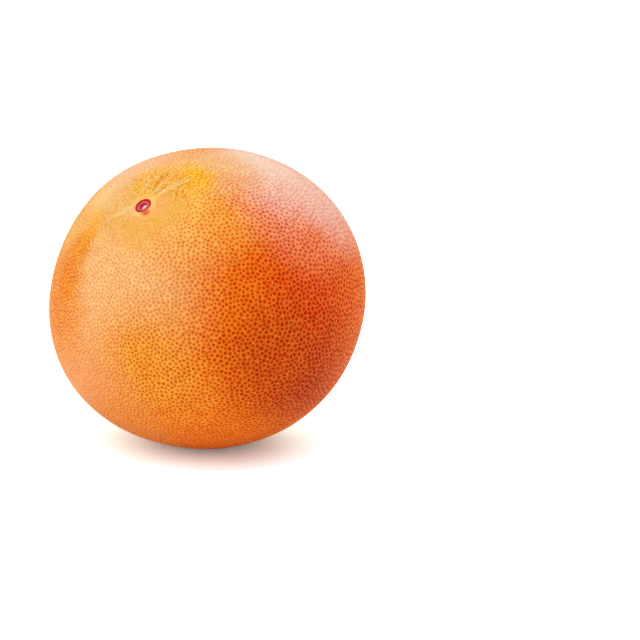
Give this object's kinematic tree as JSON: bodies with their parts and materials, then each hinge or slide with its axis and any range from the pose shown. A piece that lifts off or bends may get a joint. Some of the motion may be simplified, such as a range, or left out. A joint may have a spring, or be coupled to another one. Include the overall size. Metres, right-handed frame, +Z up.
{
  "type": "grapefruit",
  "caption": "Whole grapefruit, slightly oblate, with pitted orange peel and a small round stem scar in a shallow dimple, lying on its side on a small flat spot.",
  "frame": {"origin": "on the table plane, under the middle of the fruit's outline seen from above", "axes": "+Z up from the table; -Y is the front; +X is the viewer's right; the stem end leans towards -X and -Y, 40 degrees from upright"},
  "size_m": [0.0996, 0.098, 0.0928],
  "materials": {
    "peel": "satin",
    "stem_scar": "satin"
  },
  "bodies": {
    "root": {"grapefruit": "peel"}
  },
  "joints": []
}
